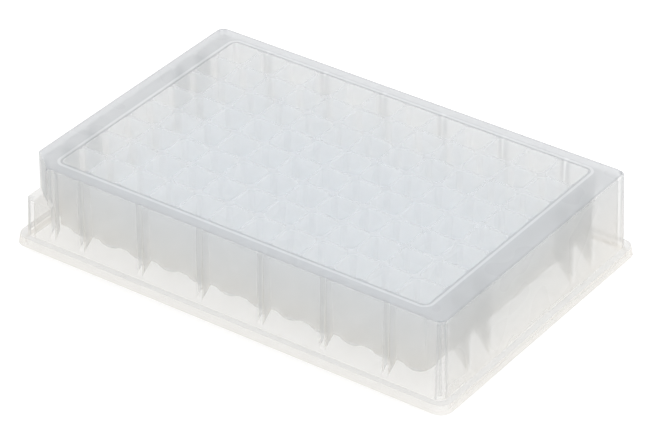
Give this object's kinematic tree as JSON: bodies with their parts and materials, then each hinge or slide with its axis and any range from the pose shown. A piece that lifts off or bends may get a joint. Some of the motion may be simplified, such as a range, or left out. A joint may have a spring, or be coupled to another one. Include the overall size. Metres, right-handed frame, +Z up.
{
  "type": "well plate",
  "caption": "Shallow rectangular tray of square, round-bottomed wells in a thin ribbed skirt with a foot flange and one cut upper corner, in translucent plastic.",
  "frame": {"origin": "centre of the underside, on the plane of the foot rim that the plate stands on", "axes": "+X along the long side, which is the direction of a row of wells, +Y along the short side, +Z up out of the wells. The cut corner is at -X, -Y"},
  "size_m": [0.1278, 0.0854, 0.0235],
  "materials": {
    "natural_polypropylene": "translucent, smooth moulded surface"
  },
  "bodies": {
    "root": {"well_plate": "natural_polypropylene"}
  },
  "joints": []
}
